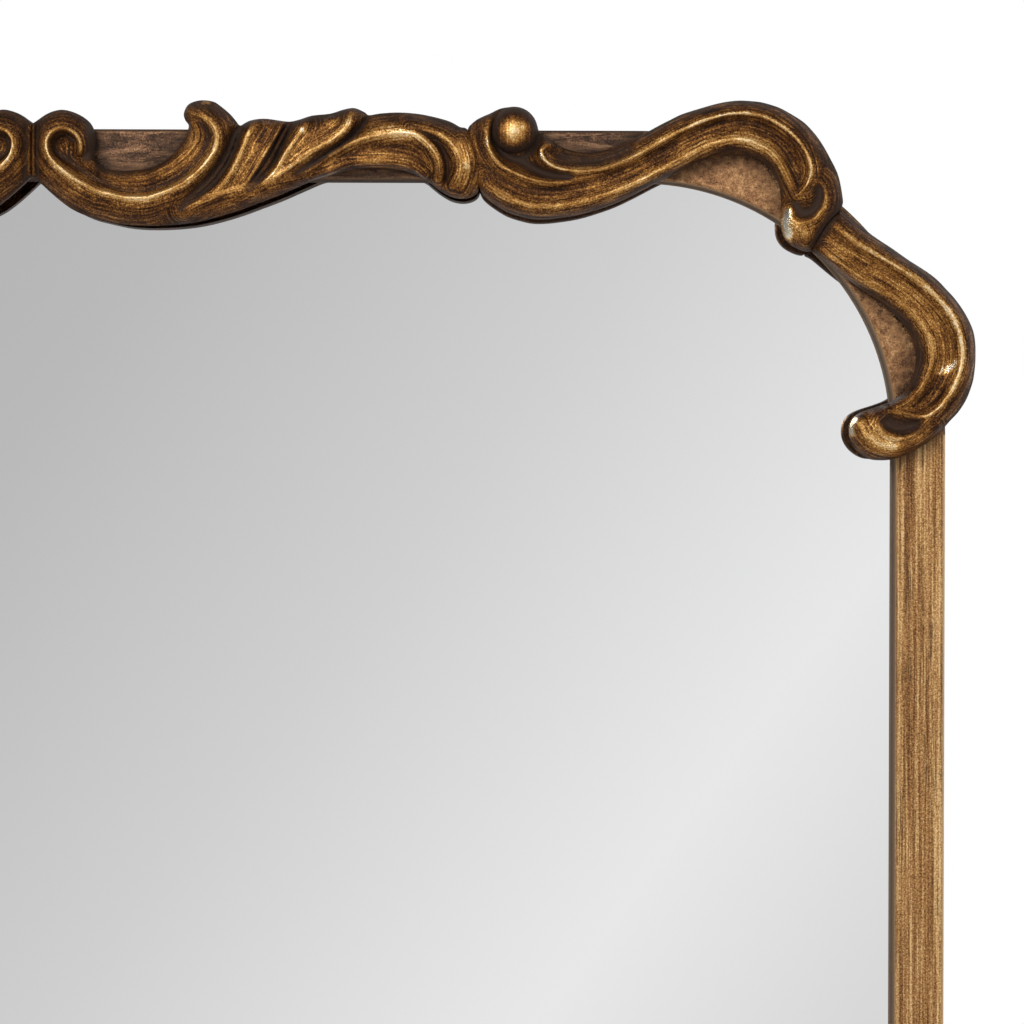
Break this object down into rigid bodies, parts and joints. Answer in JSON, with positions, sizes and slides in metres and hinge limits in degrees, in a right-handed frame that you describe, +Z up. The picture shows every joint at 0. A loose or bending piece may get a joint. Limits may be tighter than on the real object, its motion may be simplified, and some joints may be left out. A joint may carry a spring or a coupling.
{
  "type": "wall mirror",
  "caption": "Wall mirror with a flat antique-gold bar frame, rounded top corners, a cast garland of scrolls along the top and hinged hanging rings.",
  "frame": {"origin": "midway between the two wall hooks, on the wall plane that the bumpers touch", "axes": "+X to the viewer's right, +Z up along the frame's height, +Y towards the wall"},
  "size_m": [0.6116, 0.0325, 0.9147],
  "materials": {
    "frame_gold": "antique gold paint, brushed, rubbed bright at the edges",
    "casting_bronze": "cast resin, bronze paint with rubbed gold ridges and dark hollows",
    "silvered_glass": "silvered float glass",
    "board": "plain hardboard",
    "dowel_wood": "plain beech",
    "foam": "soft dark foam",
    "zinc_steel": "zinc plated",
    "bumper_rubber": "soft black rubber"
  },
  "bodies": {
    "root": {"top_rail": "frame_gold", "corner_block_left": "frame_gold", "corner_block_right": "frame_gold", "stile_left": "frame_gold", "stile_right": "frame_gold", "bottom_rail": "frame_gold", "corner_dowels": "dowel_wood", "mitre_keys": "dowel_wood", "mirror_glass": "silvered_glass", "foam_strips": "foam", "backing_board": "board", "backing_screws": "zinc_steel", "hanger_screws": "zinc_steel", "hanger_strap_left": "zinc_steel", "hanger_strap_right": "zinc_steel", "wall_bumper_top_left": "bumper_rubber", "wall_bumper_top_right": "bumper_rubber", "wall_bumper_bottom_left": "bumper_rubber", "wall_bumper_bottom_right": "bumper_rubber", "crest_spray_left": "casting_bronze", "crest_spray_right": "casting_bronze", "pearl_scroll_left": "casting_bronze", "pearl_scroll_right": "casting_bronze", "corner_hook_left": "casting_bronze", "corner_hook_right": "casting_bronze"},
    "ring_left": {"hanger_ring_left": "zinc_steel"},
    "ring_right": {"hanger_ring_right": "zinc_steel"}
  },
  "joints": [
    {"name": "ring_hinge_left", "type": "hinge", "parent": "root", "child": "ring_left", "pos_m": [-0.287, -0.00295, -0.0113], "axis": [1, 0, 0], "range_deg": [0, 176]},
    {"name": "ring_hinge_right", "type": "hinge", "parent": "root", "child": "ring_right", "pos_m": [0.287, -0.00295, -0.0113], "axis": [1, 0, 0], "range_deg": [0, 176]}
  ]
}
